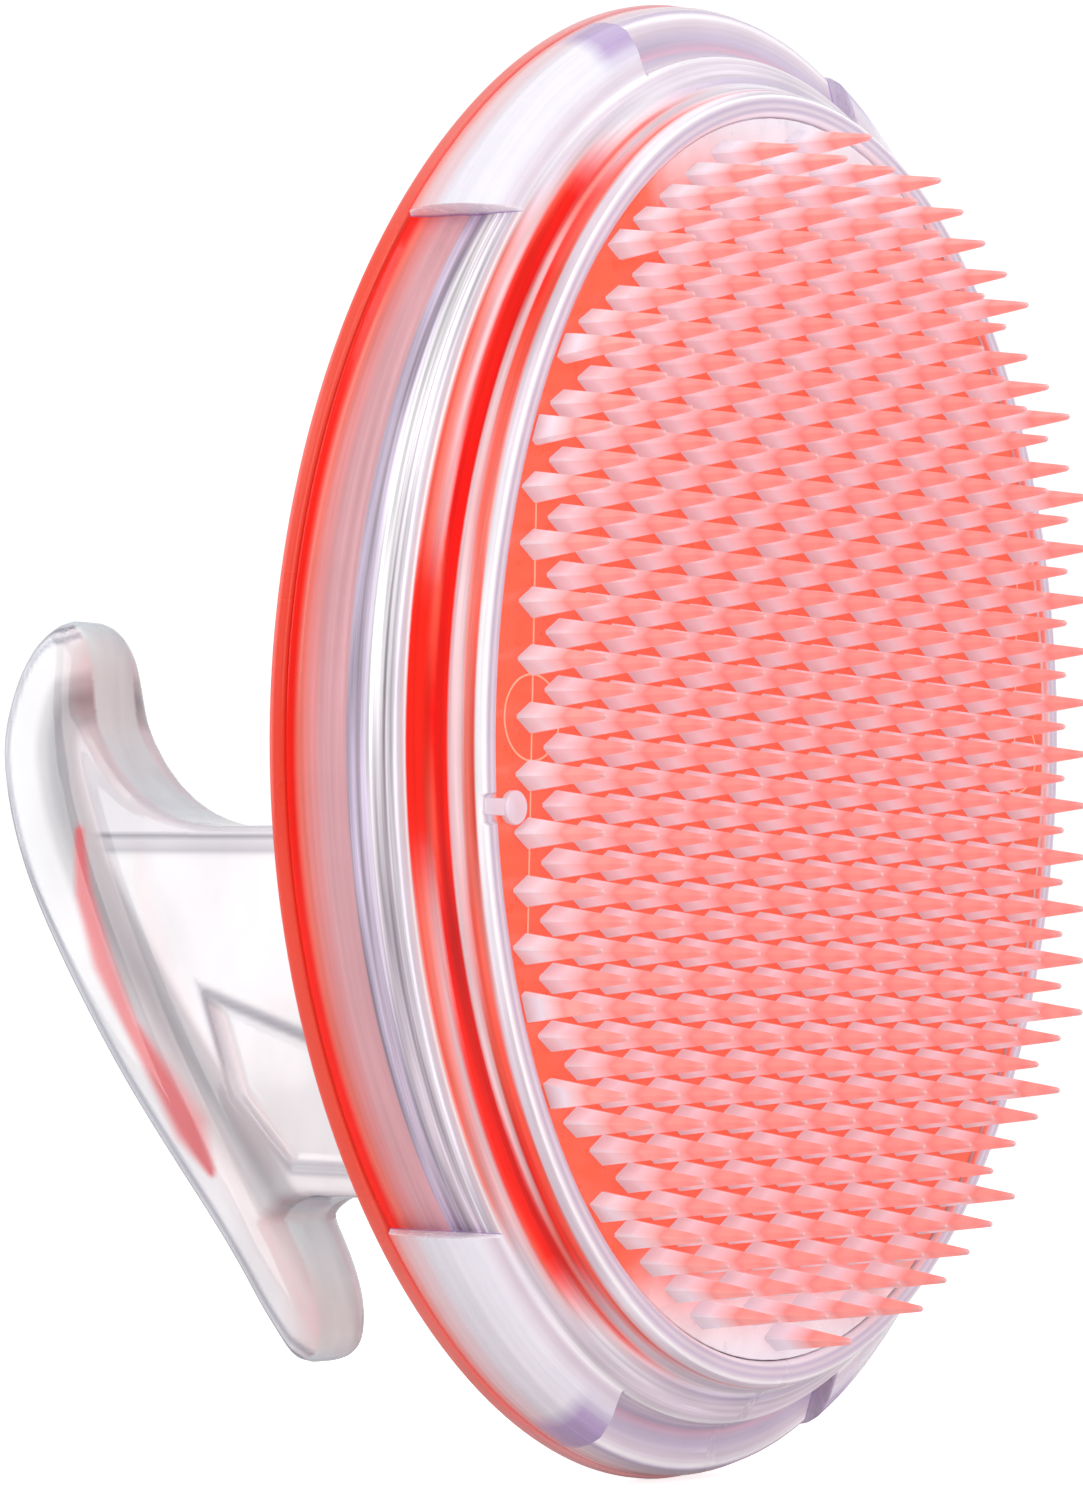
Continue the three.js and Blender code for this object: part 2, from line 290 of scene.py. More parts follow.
WHITE = srgb(250, 247, 250)
CLOUD = srgb(236, 235, 243)
PEARL = srgb(236, 230, 238)
FROST_WHITE = srgb(208, 192, 202)
LAVENDER = srgb(220, 208, 219)
DUSK = srgb(196, 184, 206)
SILVER = srgb(188, 172, 190)
PALE_PINK = srgb(236, 204, 208)
ROSE = srgb(240, 170, 172)
FROST = srgb(222, 168, 174)
FROSTED_PINK = srgb(232, 148, 148)
MAUVE = srgb(214, 178, 198)
VIOLET = srgb(166, 136, 192)
CORAL = srgb(247, 98, 64)
FACE_CORAL = srgb(240, 88, 52)
CORAL_PINK = srgb(246, 126, 112)
SOFT_RED = srgb(248, 86, 66)
RED = srgb(250, 28, 8)
DEEP_RED = srgb(222, 8, 2)

PLASTIC_IOR = 1.46


class Nodes:
    """A material's node tree, with short calls for the nodes used here."""

    def __init__(self, name):
        self.material = bpy.data.materials.new(name)
        self.material.use_nodes = True
        self.tree = self.material.node_tree
        self.shader = self.tree.nodes["Principled BSDF"]

    def add(self, kind, **values):
        node = self.tree.nodes.new(kind)
        for key, value in values.items():
            setattr(node, key, value)
        return node

    def link(self, output, socket):
        self.tree.links.new(output, socket)

    def set(self, **values):
        for key, value in values.items():
            self.shader.inputs[key.replace("_", " ")].default_value = value

    def position(self, scale=(1, 1, 1)):
        """Object coordinates in millimetres, stretched by scale."""
        coordinates = self.add("ShaderNodeTexCoord")
        mapping = self.add("ShaderNodeMapping")
        mapping.inputs["Scale"].default_value = [s / MM for s in scale]
        self.link(coordinates.outputs["Object"], mapping.inputs["Vector"])
        return mapping.outputs["Vector"]

    def noise(self, scale, detail=2, stretch=(1, 1, 1)):
        """Noise whose grain is about 1 / scale millimetres."""
        texture = self.add("ShaderNodeTexNoise")
        texture.inputs["Scale"].default_value = scale
        texture.inputs["Detail"].default_value = detail
        self.link(self.position(stretch), texture.inputs["Vector"])
        return texture.outputs["Fac"]

    def range(self, value, low, high, from_low=0.3, from_high=0.7):
        node = self.add("ShaderNodeMapRange")
        node.inputs["From Min"].default_value = from_low
        node.inputs["From Max"].default_value = from_high
        node.inputs["To Min"].default_value = low
        node.inputs["To Max"].default_value = high
        self.link(value, node.inputs["Value"])
        return node.outputs["Result"]

    def roughness(self, scale, low, high, stretch=(1, 1, 1)):
        self.link(self.range(self.noise(scale, 3, stretch), low, high), self.shader.inputs["Roughness"])

    def bump(self, value, distance, strength=1.0):
        node = self.add("ShaderNodeBump")
        node.inputs["Distance"].default_value = distance * MM
        node.inputs["Strength"].default_value = strength
        self.link(value, node.inputs["Height"])
        self.link(node.outputs["Normal"], self.shader.inputs["Normal"])

    def tinted(self, colour_output, scale, amount):
        """The colour, a little lighter and darker in soft patches."""
        node = self.add("ShaderNodeHueSaturation")
        self.link(colour_output, node.inputs["Color"])
        self.link(self.range(self.noise(scale), 1 - amount, 1 + amount), node.inputs["Value"])
        self.link(node.outputs["Color"], self.shader.inputs["Base Color"])

    def painted(self):
        """The painted colour and the painted strength of the streaks."""
        attribute = self.add("ShaderNodeVertexColor")
        attribute.layer_name = "paint"
        return attribute.outputs["Color"], attribute.outputs["Alpha"]

    def streaks(self, across, along, detail=3):
        """Noise drawn out along an oval body: fine across its section, long round its outline."""
        attribute = self.add("ShaderNodeAttribute", attribute_name="station")
        mapping = self.add("ShaderNodeMapping")
        mapping.inputs["Scale"].default_value = (across, across, along)
        self.link(attribute.outputs["Vector"], mapping.inputs["Vector"])
        texture = self.add("ShaderNodeTexNoise")
        texture.inputs["Scale"].default_value = 1
        texture.inputs["Detail"].default_value = detail
        self.link(mapping.outputs["Vector"], texture.inputs["Vector"])
        return texture.outputs["Fac"]

    def times(self, a, b):
        node = self.add("ShaderNodeMath", operation="MULTIPLY")
        for socket, value in zip(node.inputs, (a, b)):
            if isinstance(value, float):
                socket.default_value = value
            else:
                self.link(value, socket)
        return node.outputs["Value"]

    def shaded(self, colour_output, change):
        """The colour, made lighter or darker by a change about zero."""
        value = self.add("ShaderNodeMath", operation="ADD")
        value.inputs[1].default_value = 1
        self.link(change, value.inputs[0])
        node = self.add("ShaderNodeHueSaturation")
        self.link(colour_output, node.inputs["Color"])
        self.link(value.outputs["Value"], node.inputs["Value"])
        return node.outputs["Color"]

    def plain(self, colour):
        node = self.add("ShaderNodeRGB")
        node.outputs[0].default_value = (*colour, 1)
        return node.outputs[0]

    def let_lamps_through(self, tint):
        """Rays from lamps pass, tinted, so that what is behind the clear plastic is lit."""
        path = self.add("ShaderNodeLightPath")
        passing = self.add("ShaderNodeBsdfTransparent")
        passing.inputs["Color"].default_value = (*tint, 1)
        blend = self.add("ShaderNodeMixShader")
        self.link(path.outputs["Is Shadow Ray"], blend.inputs["Fac"])
        self.link(self.shader.outputs["BSDF"], blend.inputs[1])
        self.link(passing.outputs["BSDF"], blend.inputs[2])
        output = self.tree.nodes["Material Output"]
        self.link(blend.outputs["Shader"], output.inputs["Surface"])


def fill_ramp(node, stops):
    """Sets a colour ramp's stops from (position, colour)."""
    elements = node.color_ramp.elements
    for element, (position, colour) in zip(elements, (stops[0], stops[-1])):
        element.position = position
        element.color = (*colour, 1)
    for position, colour in stops[1:-1]:
        elements.new(position).color = (*colour, 1)


def rim_material():
    m = Nodes("clear_rim_plastic")
    colour, strength = m.painted()
    # Streaks that lighten and darken the painted colour: painted reflections, strongest on the side recesses'
    # grip band
    fine = m.times(m.range(m.streaks(2.4, 0.03), -0.5, 0.5), strength)
    broad = m.times(m.range(m.streaks(0.9, 0.05, 1), -0.35, 0.35), strength)
    m.tinted(m.shaded(m.shaded(colour, fine), broad), 0.25, 0.02)
    m.set(IOR=PLASTIC_IOR, Specular_IOR_Level=0.3, Coat_Weight=0.15, Coat_Roughness=0.06)
    m.set(Transmission_Weight=0.08)
    m.link(m.range(m.streaks(1.2, 0.02), 0.12, 0.3), m.shader.inputs["Roughness"])
    m.bump(m.streaks(1.6, 0.02, 2), 0.12, 0.5)
    m.let_lamps_through((0.9, 0.86, 0.88))
    return m.material


def bristle_material():
    m = Nodes("clear_bristle_plastic")
    m.tinted(m.painted()[0], 0.6, 0.04)
    # The painted colour also glows faintly: painted light standing in for light through the clear bristles
    m.link(m.painted()[0], m.shader.inputs["Emission Color"])
    m.set(IOR=PLASTIC_IOR, Coat_Weight=0.2, Coat_Roughness=0.08)
    m.set(Transmission_Weight=0.15, Emission_Strength=0.2)
    m.roughness(1.5, 0.12, 0.26)
    m.let_lamps_through((0.95, 0.8, 0.8))
    return m.material


def face_material():
    m = Nodes("face_plastic_over_coral")
    m.tinted(m.painted()[0], 0.4, 0.05)
    m.set(IOR=PLASTIC_IOR, Coat_Weight=0.7, Coat_Roughness=0.05)
    m.roughness(0.9, 0.25, 0.4)
    m.bump(m.noise(0.3, 1), 0.02, 0.3)
    return m.material


def coral_material(name):
    m = Nodes(name)
    m.tinted(m.painted()[0], 0.06, 0.02)
    m.set(IOR=PLASTIC_IOR, Specular_IOR_Level=0.35, Coat_Weight=0.15, Coat_Roughness=0.06)
    m.roughness(0.15, 0.26, 0.34)
    m.bump(m.noise(0.06, 1), 0.1, 0.3)
    return m.material


# Painted shade, from the surface that faces the camera to the one that turns away
HANDLE_EDGE = [(0.35, (1, 1, 1)), (0.62, srgb(232, 232, 236)), (0.82, srgb(188, 188, 198)),
               (0.96, srgb(112, 112, 124))]


def handle_material():
    """Thick clear plastic: white inside, painted grey shade where the surface turns away, with soft flow
    marks, and a faint painted glow.
    """
    m = Nodes("clear_handle_plastic")
    facing = m.add("ShaderNodeLayerWeight")
    facing.inputs["Blend"].default_value = 0.5
    edge = m.add("ShaderNodeValToRGB")
    fill_ramp(edge, HANDLE_EDGE)
    m.link(facing.outputs["Facing"], edge.inputs["Fac"])
    blend = m.add("ShaderNodeMix", data_type="RGBA", blend_type="MULTIPLY")
    blend.inputs["Factor"].default_value = 1
    m.link(m.painted()[0], blend.inputs["A"])
    m.link(edge.outputs["Color"], blend.inputs["B"])
    flow = m.range(m.noise(0.35, 3, (1, 0.35, 0.2)), -0.07, 0.07)
    clear = m.shaded(blend.outputs["Result"], flow)
    m.tinted(clear, 0.1, 0.01)
    # The shaded colour also glows faintly: painted light that lifts and whitens the clear plastic
    m.link(clear, m.shader.inputs["Emission Color"])
    m.set(IOR=PLASTIC_IOR, Coat_Weight=0.5, Coat_Roughness=0.03)
    m.set(Transmission_Weight=0.15, Emission_Strength=0.07)
    m.roughness(0.3, 0.02, 0.1)
    m.bump(m.noise(0.2, 1, (1, 0.5, 0.3)), 0.2, 0.35)
    m.let_lamps_through((0.93, 0.93, 0.94))
    return m.material


def steel_material():
    m = Nodes("plated_screw_steel")
    m.tinted(m.plain(srgb(190, 192, 196)), 1.2, 0.06)
    m.set(Metallic=1.0)
    m.roughness(2.0, 0.2, 0.38)
    return m.material


# ---------------- outer rim

# The rim's section as (offset, depth, stretch): over the lip and down the shoulder, then one of three sides,
# then back up inside
LIP_FRONT = -0.45
LIP_TOP_OUTER = 1.75
WALL_FOOT = 2
SECTION_CORNER = 4
LIP_OUTSIDE = [(0.3, 1.3, 0), (0.3, -0.1, 0), (0.65, LIP_FRONT, 0), (LIP_TOP_OUTER, LIP_FRONT, 0),
               (2.15, -0.1, 0), (2.75, WALL_FOOT, 0), (5.15, SECTION_CORNER, 0)]
BLOCK_OUTSIDE = [(6.7, 5.2, 0.3), (7.8, 6.9, 0.6), (8.1, 8.7, 0.9), (7.7, 11, 1.6), (6.3, RIM_BACK, 3.1)]
SIDE_RECESS_OUTSIDE = [(5.05, 5.7, 0.2), (4.85, 9.2, 0.7), (5.3, 9.7, 0.9), (5.4, 13.4, 1.9),
                       (6.2, RIM_BACK, 2.6)]
END_RECESS_OUTSIDE = [(5.05, 5.7, 0.2), (5.3, 7, 0.5), (7.85, 8.8, 0.9), (7.65, 11, 1.6),
                      (6.3, RIM_BACK, 3.1)]
RIM_INSIDE = [(3.7, RIM_BACK, 1.6), (3.7, 9, 0.6), (3.9, 5, 0), (1.75, 2.9, 0), (1.75, 1.3, 0)]
RIM_ROUNDING = 0.35

# A recess's end wall takes this many degrees either side of its place, and is kept flat over the reach
WALL_HALF_ANGLE = 0.3
SHEAR_REACH = 9

# The locating tab's place round the oval, and the notch that it lies in
TAB_ANGLE = -math.degrees(math.acos(TAB_HEIGHT / FACE_HALF_HEIGHT))
NOTCH_HALF_ANGLE = 1.1
NOTCH_SLOPE = 0.25
NOTCH_FRONT = -0.1

# The walls' places on the recess floor, as angles from the top
FLOOR_OFFSET = 5
TOP_WALL = math.degrees(math.asin(TOP_RECESS_HALF_WIDTH / (FACE_HALF_WIDTH + FLOOR_OFFSET)))
SIDE_WALL = math.degrees(math.acos(SIDE_RECESS_HALF_HEIGHT / (FACE_HALF_HEIGHT + FLOOR_OFFSET)))


def folded(degrees):
    """The angle from the nearer end of the long axis, 0 to 90."""
    return min(degrees % 180, 180 - degrees % 180)


def side_share(degrees):
    """1 inside a finger recess at the side, 0 elsewhere, changing at its steep end walls."""
    return smoothstep(SIDE_WALL - WALL_HALF_ANGLE, SIDE_WALL + WALL_HALF_ANGLE, folded(degrees))


def end_share(degrees):
    """1 inside the finger recess at the top or bottom, 0 elsewhere, changing at its steep end walls."""
    return 1 - smoothstep(TOP_WALL - WALL_HALF_ANGLE, TOP_WALL + WALL_HALF_ANGLE, folded(degrees))


def wall_turn(point, degrees):
    """How far a rim point turns along the oval so that the recesses' end walls stay flat, in degrees."""
    offset, depth, stretch = point
    if depth < SECTION_CORNER or offset < FLOOR_OFFSET - 0.3:
        return 0
    angle = folded(degrees)
    top = math.degrees(math.asin(TOP_RECESS_HALF_WIDTH / (FACE_HALF_WIDTH + offset))) - TOP_WALL
    height = FACE_HALF_HEIGHT + offset + stretch
    side = math.degrees(math.acos(SIDE_RECESS_HALF_HEIGHT / height)) - SIDE_WALL
    turn = top * (1 - smoothstep(1, SHEAR_REACH, abs(angle - TOP_WALL)))
    turn += side * (1 - smoothstep(1, SHEAR_REACH, abs(angle - SIDE_WALL)))
    return turn if degrees % 180 < 90 else -turn


def rim_angles():
    """Degrees round the rim, closer together at the recesses' end walls and at the tab's notch."""
    quarter = (TOP_WALL, SIDE_WALL, 180 - SIDE_WALL, 180 - TOP_WALL)
    angles = {float(a) for a in range(-180, 180, 2)}
    for end in [side * e for e in quarter for side in (-1, 1)]:
        angles |= {end + WALL_HALF_ANGLE * k / 3 for k in range(-4, 5)}
    for side in (-1, 1):
        angles |= {TAB_ANGLE + side * (NOTCH_HALF_ANGLE + NOTCH_SLOPE * k / 2) for k in range(3)}
    return sorted(angles)


# How the front of the rim looks at rising heights, across the shoulder and the lip's wall: the coral tray
# shows through as a red band that climbs towards the lip. The pale line by the lip's edge is a painted
# highlight
FRONT_LOOKS = [
    (0.00, [(0, WHITE), (0.02, RED), (0.22, RED), (0.34, DEEP_RED), (0.48, RED), (0.5, FROST),
            (0.54, PALE_PINK), (0.7, PALE_PINK), (0.78, CORAL_PINK), (0.93, SOFT_RED), (0.96, WHITE)]),
    (0.15, [(0, WHITE), (0.02, RED), (0.2, RED), (0.29, SOFT_RED), (0.37, DEEP_RED), (0.48, RED),
            (0.5, FROST), (0.54, PALE_PINK), (0.68, PALE_PINK), (0.75, CORAL_PINK), (0.92, SOFT_RED),
            (0.96, WHITE)]),
    (0.30, [(0, WHITE), (0.04, SOFT_RED), (0.14, CORAL_PINK), (0.22, ROSE), (0.27, ROSE),
            (0.31, DEEP_RED), (0.48, DEEP_RED), (0.5, PALE_PINK), (0.66, ROSE), (0.72, SOFT_RED),
            (0.9, CORAL_PINK), (0.95, PEARL)]),
    (0.50, [(0, WHITE), (0.04, SOFT_RED), (0.12, CORAL_PINK), (0.18, ROSE), (0.23, PALE_PINK), (0.28, RED),
            (0.48, DEEP_RED), (0.52, PALE_PINK), (0.6, PALE_PINK), (0.66, SOFT_RED), (0.86, SOFT_RED),
            (0.91, LAVENDER)]),
    (0.64, [(0, PEARL), (0.05, CORAL_PINK), (0.14, ROSE), (0.22, PALE_PINK), (0.28, RED), (0.49, DEEP_RED),
            (0.54, ROSE), (0.6, PALE_PINK), (0.66, RED), (0.88, SOFT_RED), (0.92, LAVENDER)]),
    (0.77, [(0, PEARL), (0.1, LAVENDER), (0.2, PALE_PINK), (0.28, SOFT_RED), (0.34, RED),
            (0.5, DEEP_RED), (0.57, CORAL_PINK), (0.66, RED), (0.86, SOFT_RED), (0.92, LAVENDER)]),
    (0.89, [(0, WHITE), (0.1, LAVENDER), (0.3, PEARL), (0.42, PALE_PINK), (0.5, SOFT_RED), (0.56, ROSE),
            (0.64, LAVENDER), (0.74, ROSE), (0.84, SOFT_RED), (0.9, PALE_PINK), (1, PEARL)]),
    (1.00, [(0, WHITE), (0.08, LAVENDER), (0.3, LAVENDER), (0.4, DUSK), (0.5, PEARL), (0.7, LAVENDER),
            (0.8, PEARL), (0.88, ROSE), (0.93, PEARL), (1, LAVENDER)]),
]

# How strong the painted reflection streaks are on each part of the rim
LIP_REFLECTION_STREAKS = 0.08
FRONT_REFLECTION_STREAKS = 0.35
WALL_REFLECTION_STREAKS = 0.1
FLOOR_REFLECTION_STREAKS = 0.15
GRIP_REFLECTION_STREAKS = 0.9
BLOCK_REFLECTION_STREAKS = 0.06


def front_look(depth, height):
    """Across the front, whose section is 0 at the shoulder's edge, 0.5 at the wall's foot and 1 at the lip."""
    if depth > WALL_FOOT:
        section = 0.5 - (depth - WALL_FOOT) / (SECTION_CORNER - WALL_FOOT) / 2
    else:
        section = 1 - (depth - NOTCH_FRONT) / (WALL_FOOT - NOTCH_FRONT) / 2
    return ramp([(v, ramp(stops, section)) for v, stops in FRONT_LOOKS], height)


def lip_look(offset, height):
    """Across the lip: coral glow at its inner edge, cool white along its top, and a painted white highlight
    at its outer edge.
    """
    glow = ramp([(0, PALE_PINK), (0.25, CORAL_PINK), (0.7, CORAL_PINK), (0.9, PALE_PINK), (1, PEARL)], height)
    return ramp([(0.3, glow), (0.55, glow), (0.8, DUSK), (1.1, LAVENDER), (1.45, DUSK), (1.65, LAVENDER),
                 (1.8, WHITE)], offset)


def side_recess_look(depth, low):
    """Down the floor of a side recess: painted reflection streaks, a sharp edge, then frosted pink that
    reddens to the cover. The bright band turns lavender towards the bottom of the rim.
    """
    # bright is the painted reflection band: white, turning lavender towards the bottom
    bright = mix(WHITE, LAVENDER, low)
    return ramp([
        (4.0, WHITE), (4.2, PALE_PINK), (4.5, LAVENDER), (5.3, PEARL), (5.7, bright), (5.85, SILVER),
        (6.0, bright), (7.5, bright), (7.7, DUSK), (8.3, SILVER), (9.1, DUSK), (9.3, SILVER), (9.4, FROST),
        (11.0, FROST), (12.4, FROSTED_PINK), (13.3, CORAL_PINK), (13.7, RED),
    ], depth)


def end_recess_look(depth):
    """Down the floor of the top or bottom recess: cool lavender, a rosy streak, a bright line of painted
    highlight, a rosy crest.
    """
    return ramp([
        (4.0, WHITE), (4.3, LAVENDER), (5.0, PEARL), (5.6, LAVENDER), (6.4, DUSK), (7.0, MAUVE), (7.5, DUSK),
        (8.3, LAVENDER), (8.6, WHITE), (8.9, DUSK), (9.8, LAVENDER), (11.5, PALE_PINK), (13.5, ROSE),
    ], depth)


def block_look(depth, side, near_top_wall):
    """Down the side of a block between recesses: milky white, then a rosy edge by the cover. The upright end
    wall shows through the block as a dusky patch beside it, painted on as violet shade."""
    back = mix(PALE_PINK, FROSTED_PINK, side)
    look = ramp([
        (4.0, PEARL), (4.3, LAVENDER), (5.2, CLOUD), (8.6, CLOUD), (10.4, mix(CLOUD, back, 0.6)),
        (11.8, back), (13.0, mix(back, CORAL_PINK, 0.7)), (14.0, mix(back, RED, 0.8)),
    ], depth)
    # Painted violet shade beside the top recess's end wall
    patch = near_top_wall * smoothstep(4.3, 6.5, depth) * (1 - smoothstep(11.5, 13.5, depth))
    return mix(look, VIOLET, 0.8 * patch)


def rim_colour(offset, depth, degrees):
    """The rim's look by place: red shows through at the sides, little at the top and bottom."""
    height = abs(math.cos(math.radians(degrees)))
    side = 1 - smoothstep(0.45, 0.95, height)
    if depth < -0.05 and offset < LIP_TOP_OUTER + 0.2:
        return (*lip_look(offset, height), LIP_REFLECTION_STREAKS)
    if depth < SECTION_CORNER:
        return (*front_look(depth, height), FRONT_REFLECTION_STREAKS)
    to_side, to_end = side_share(degrees), end_share(degrees)
    # The recesses' end walls: painted violet shade where they meet the recess, pearl or dusk elsewhere
    if 0.02 < to_side < 0.98:
        return (*(VIOLET if to_side > 0.85 else PEARL), WALL_REFLECTION_STREAKS)
    if 0.02 < to_end < 0.98:
        return (*(VIOLET if to_end > 0.85 else DUSK), WALL_REFLECTION_STREAKS)
    if to_side > 0.5:
        low = smoothstep(-0.15, 0.35, -math.cos(math.radians(degrees)))
        return (*side_recess_look(depth, low), GRIP_REFLECTION_STREAKS if 4.6 < depth < 9.3 else FLOOR_REFLECTION_STREAKS)
    if to_end > 0.5:
        return (*end_recess_look(depth), FLOOR_REFLECTION_STREAKS)
    reach = 4.6 - (depth - SECTION_CORNER) * 0.1
    near_top_wall = 1 - smoothstep(reach, reach + 1, folded(degrees) - TOP_WALL)
    return (*block_look(depth, side, near_top_wall), BLOCK_REFLECTION_STREAKS)


def notched(point, angle):
    """A rim point, let down where the locating tab crosses the lip."""
    share = 1 - smoothstep(NOTCH_HALF_ANGLE, NOTCH_HALF_ANGLE + NOTCH_SLOPE, abs(angle - TAB_ANGLE))
    if point.y > NOTCH_FRONT:
        return point
    return Vector((point.x, point.y + (NOTCH_FRONT - point.y) * share, point.z))


def outer_rim():
    block, side, end = [rounded(LIP_OUTSIDE + outside + RIM_INSIDE, RIM_ROUNDING)
                        for outside in (BLOCK_OUTSIDE, SIDE_RECESS_OUTSIDE, END_RECESS_OUTSIDE)]
    degrees = rim_angles()
    profiles = []
    for angle in degrees:
        to_side, to_end = side_share(angle), end_share(angle)
        points = [p.lerp(q, to_side).lerp(r, to_end) for p, q, r in zip(block, side, end)]
        profiles.append([notched(point, angle) for point in points])
    mesh = ring_mesh("outer_rim_shell", profiles, degrees, 40, wall_turn)
    paint_by_station(mesh, rim_colour)
    return make_object("outer_rim_shell", mesh)


# ---------------- bristle plate

def bristle_sites():
    rows = math.ceil(FIELD_HALF_HEIGHT / ROW_PITCH)
    for i in range(-OUTER_COLUMN, OUTER_COLUMN + 1):
        for j in range(-rows, rows + 1):
            x = i * COLUMN_PITCH
            z = j * ROW_PITCH + (ROW_PITCH / 2 if i % 2 else 0)
            if math.hypot(x / FIELD_HALF_WIDTH, z / FIELD_HALF_HEIGHT) < 1:
                yield x, z


# How much of a bristle's corners is cut, and the shares of its shaft and degrees of its cap that are drawn
CORNER_CUT = 0.1
SIDES = 8
SHAFT_STEPS = (0, 0.12, 0.23, 0.34, 0.44, 0.54, 0.64, 0.74, 0.84, 0.92, 1)
CAP_STEPS = (30, 60)

# Bristles at the edge are cut this far inside the face's outline
EDGE_INSET = 0.05


def bristle_rings():
    """(height, half width, half height) of a bristle's sections, ending in a rounded tip."""
    shaft = BRISTLE_LENGTH - TIP_RADIUS
    for t in SHAFT_STEPS:
        width = BRISTLE_HALF_WIDTH + (TIP_RADIUS - BRISTLE_HALF_WIDTH) * t
        yield t * shaft, width, BRISTLE_HALF_HEIGHT + (TIP_RADIUS - BRISTLE_HALF_HEIGHT) * t
    for degrees in CAP_STEPS:
        a = math.radians(degrees)
        yield shaft + TIP_RADIUS * math.sin(a), TIP_RADIUS * math.cos(a), TIP_RADIUS * math.cos(a)


def section(half_width, half_height):
    """A rhombus whose corners are cut a little."""
    corners = [(half_width, 0), (0, half_height), (-half_width, 0), (0, -half_height)]
    for k, (x, z) in enumerate(corners):
        for other in (corners[k - 1], corners[(k + 1) % 4]):
            yield x + (other[0] - x) * CORNER_CUT, z + (other[1] - z) * CORNER_CUT


# A bristle's colour by height: pearly at the root, coral above, pale at the tip
BRISTLE_STOPS = [
    (0, srgb(216, 208, 218)), (1.6, srgb(234, 222, 230)), (2.5, srgb(242, 196, 198)),
    (3.4, srgb(244, 150, 142)), (4.4, srgb(248, 168, 160)), (5.6, srgb(243, 154, 147)),
    (BRISTLE_LENGTH, srgb(222, 172, 172))]


def bristles():
    points, faces = [], []
    half_width, half_height = FACE_HALF_WIDTH - EDGE_INSET, FACE_HALF_HEIGHT - EDGE_INSET
    for x, z in bristle_sites():
        first = len(points)
        for height, *halves in bristle_rings():
            for dx, dz in section(*halves):
                px, pz = x + dx, z + dz
                beyond = max(1, math.hypot(px / half_width, pz / half_height))
                points.append(place(px / beyond, -height, pz / beyond))
        points.append(place(x, -BRISTLE_LENGTH, z))
        top = len(points) - 1
        last = top - SIDES
        for ring in range(first, last, SIDES):
            for k in range(SIDES):
                a, b = ring + k, ring + (k + 1) % SIDES
                faces.append((a, b, b + SIDES, a + SIDES))
        faces += [(last + k, last + (k + 1) % SIDES, top) for k in range(SIDES)]
        faces.append([first + k for k in range(SIDES - 1, -1, -1)])
    mesh = bpy.data.meshes.new("bristles")
    mesh.from_pydata(points, [], faces)
    finish_mesh(mesh, 28)
    paint(mesh, [ramp(BRISTLE_STOPS, -(vertex.co.y / MM - FACE_Y)) for vertex in mesh.vertices])
    return make_object("bristles", mesh)


def face_colour(offset, depth, degrees):
    """Coral where the tray lies behind the plate, pearly at the far top and bottom, past the tray."""
    height = abs(math.cos(math.radians(degrees))) * (FACE_HALF_HEIGHT + offset) / FACE_HALF_HEIGHT
    return ramp([(0, FACE_CORAL), (0.83, FACE_CORAL), (0.92, PALE_PINK), (1, PEARL)], height)


# The plate's section: its edge, the step that the lip covers, and its back
PLATE_EDGE = 0.24
STEP_EDGE = 1.4
STEP_FRONT = 1.6
PLATE_BACK = 2.6


def face_plate():
    degrees = range(0, 360, 3)
    profile = rounded([
        (INNERMOST, 0, 0), (PLATE_EDGE, 0, 0), (PLATE_EDGE, STEP_FRONT, 0), (STEP_EDGE, STEP_FRONT, 0),
        (STEP_EDGE, PLATE_BACK, 0), (INNERMOST, PLATE_BACK, 0)], 0.12)
    mesh = ring_mesh("face_plate", [profile] * len(degrees), degrees, sharp=40)
    paint_by_station(mesh, face_colour)
    return make_object("face_plate", mesh)


# Moulding marks on the face: a hairline down the outer column and the ring left by an ejector
MARK_PROUD = 0.05
MARK_ROOT = 0.02
MARK_WIDTH = 0.14
MARK_COLOUR = srgb(250, 168, 140)
HAIRLINE_HALF_HEIGHT = 17
EJECTOR_RADIUS = 3


def face_marks():
    points, faces = [], []

    def strip(path):
        """A low ridge along pairs of (x, z) points, one pair for its two sides."""
        first = len(points)
        for left, right in path:
            for x, z, depth in ((*left, MARK_ROOT), (*left, -MARK_PROUD), (*right, -MARK_PROUD),
                                (*right, MARK_ROOT)):
                points.append(place(x, depth, z))
        for k in range(len(path) - 1):
            a = first + 4 * k
            faces.extend([(a + i, a + (i + 1) % 4, a + (i + 1) % 4 + 4, a + i + 4) for i in range(4)])
        return first

    half = MARK_WIDTH / 2
    for x in (-OUTER_COLUMN * COLUMN_PITCH, OUTER_COLUMN * COLUMN_PITCH):
        ends = (-HAIRLINE_HALF_HEIGHT, HAIRLINE_HALF_HEIGHT)
        first = strip([((x - half, z), (x + half, z)) for z in ends])
        faces.extend([tuple(first + i for i in (3, 2, 1, 0)), tuple(first + 4 + i for i in range(4))])
        turns = [math.radians(a) for a in range(0, 361, 6)]
        radii = (EJECTOR_RADIUS - half, EJECTOR_RADIUS + half)
        strip([tuple((x + r * math.sin(t), r * math.cos(t)) for r in radii) for t in turns])
    mesh = bpy.data.meshes.new("face_marks")
    mesh.from_pydata(points, [], faces)
    finish_mesh(mesh, 30)
    paint(mesh, [MARK_COLOUR] * len(mesh.vertices))
    return make_object("face_marks", mesh)


